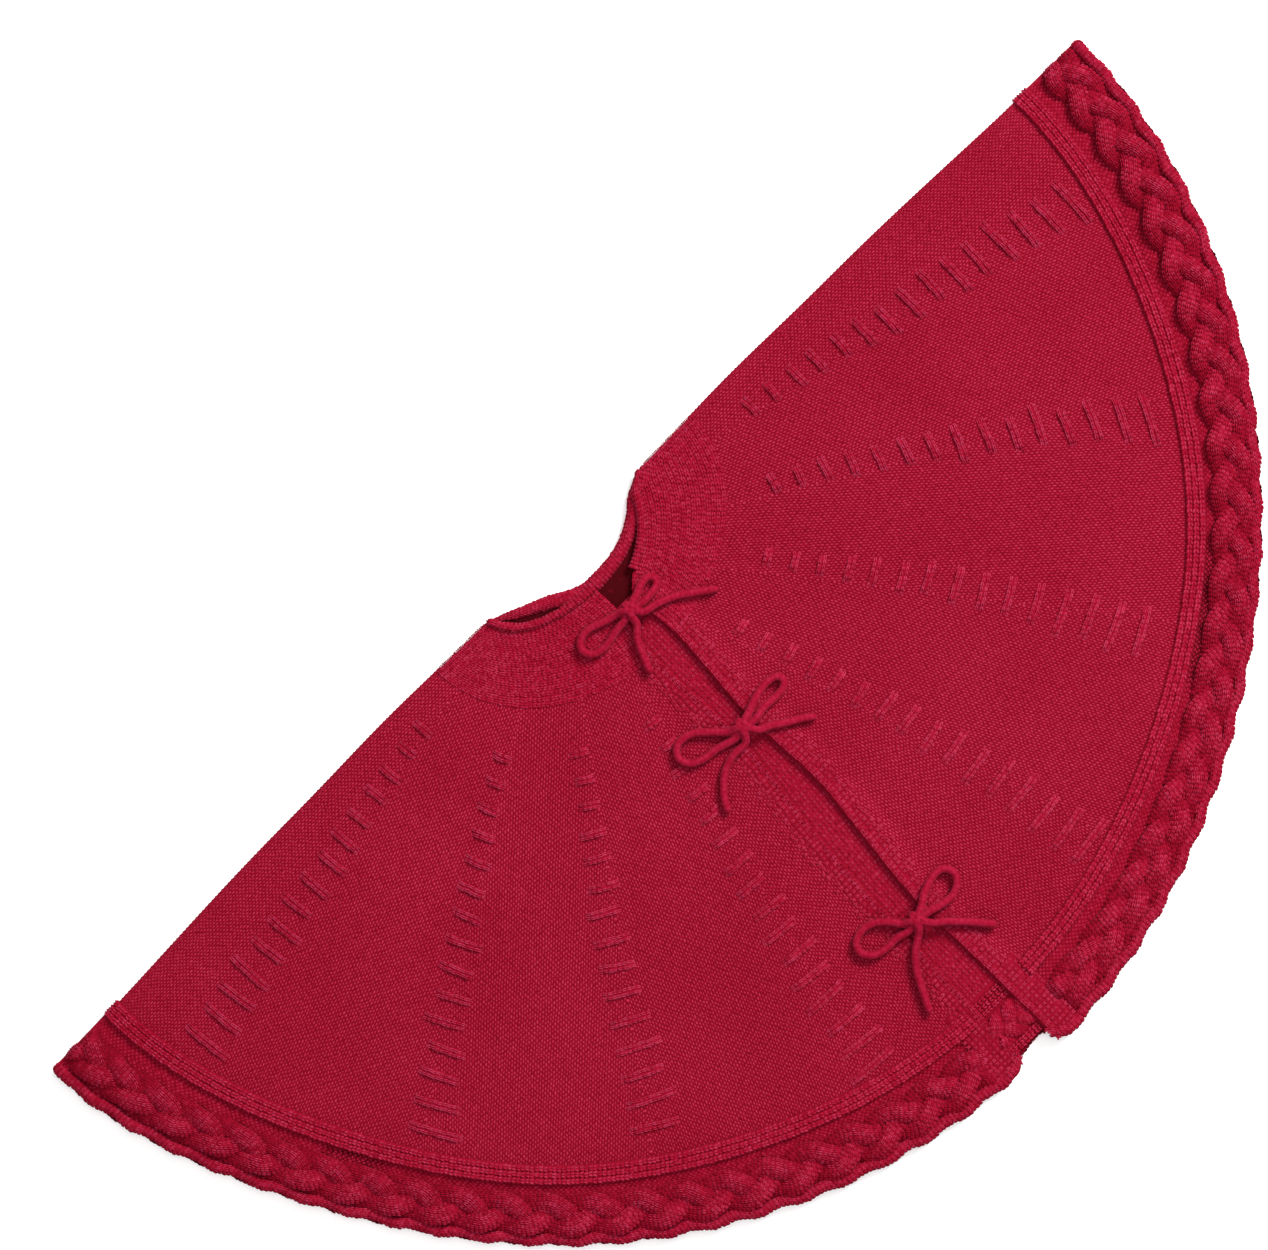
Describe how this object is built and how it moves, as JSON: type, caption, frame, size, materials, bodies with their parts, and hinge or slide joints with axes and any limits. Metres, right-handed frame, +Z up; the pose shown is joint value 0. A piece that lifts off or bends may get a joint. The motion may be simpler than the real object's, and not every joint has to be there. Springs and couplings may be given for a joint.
{
  "type": "knitted tree skirt",
  "caption": "Round knitted tree skirt folded in half, with moss-stitch panels, a cabled border, a ribbed collar round the neck opening and a front slit closed by cord bows over an underlap.",
  "frame": {"origin": "under the middle of the folded skirt's outline, on the plane that it lies on", "axes": "+X along the fold, towards the right flap's side; +Y from the hem's end of the slit towards the fold; +Z up, out of the front half that carries the bows"},
  "size_m": [1.223, 0.5917, 0.0285],
  "materials": {
    "knit": "matte crimson yarn",
    "cord": "matte crimson knitted cord"
  },
  "bodies": {
    "front_left": {"front_left_neck_edge": "knit", "front_left_collar": "knit", "front_left_body": "knit", "front_left_rib_band": "knit", "front_left_braid": "knit", "front_left_hem": "knit", "front_left_band": "knit", "front_left_underlap": "knit", "bow_1_knot": "cord", "bow_1_loop_left": "cord", "bow_1_loop_right": "cord", "bow_1_tail_left": "cord", "bow_1_tail_right": "cord", "bow_1_base_left": "cord", "bow_2_knot": "cord", "bow_2_loop_left": "cord", "bow_2_loop_right": "cord", "bow_2_tail_left": "cord", "bow_2_tail_right": "cord", "bow_2_base_left": "cord", "bow_3_knot": "cord", "bow_3_loop_left": "cord", "bow_3_loop_right": "cord", "bow_3_tail_left": "cord", "bow_3_tail_right": "cord", "bow_3_base_left": "cord"},
    "back_half": {"back_left_neck_edge": "knit", "back_left_collar": "knit", "back_left_body": "knit", "back_left_rib_band": "knit", "back_left_braid": "knit", "back_left_hem": "knit", "back_right_neck_edge": "knit", "back_right_collar": "knit", "back_right_body": "knit", "back_right_rib_band": "knit", "back_right_braid": "knit", "back_right_hem": "knit"},
    "front_right": {"front_right_neck_edge": "knit", "front_right_collar": "knit", "front_right_body": "knit", "front_right_rib_band": "knit", "front_right_braid": "knit", "front_right_hem": "knit", "front_right_band": "knit", "bow_1_base_right": "cord", "bow_2_base_right": "cord", "bow_3_base_right": "cord"}
  },
  "joints": [
    {"name": "back_fold", "type": "hinge", "parent": "front_left", "child": "back_half", "pos_m": [0, 0.2961, 0.00915], "axis": [1, 0, 0], "range_deg": [0, 180]},
    {"name": "right_flap_fold", "type": "hinge", "parent": "back_half", "child": "front_right", "pos_m": [0, 0.2961, 0.00915], "axis": [1, 0, 0], "range_deg": [-180, 0]}
  ],
  "couplings": [
    {"joint": "right_flap_fold", "follows": "back_fold", "ratio": -1}
  ]
}
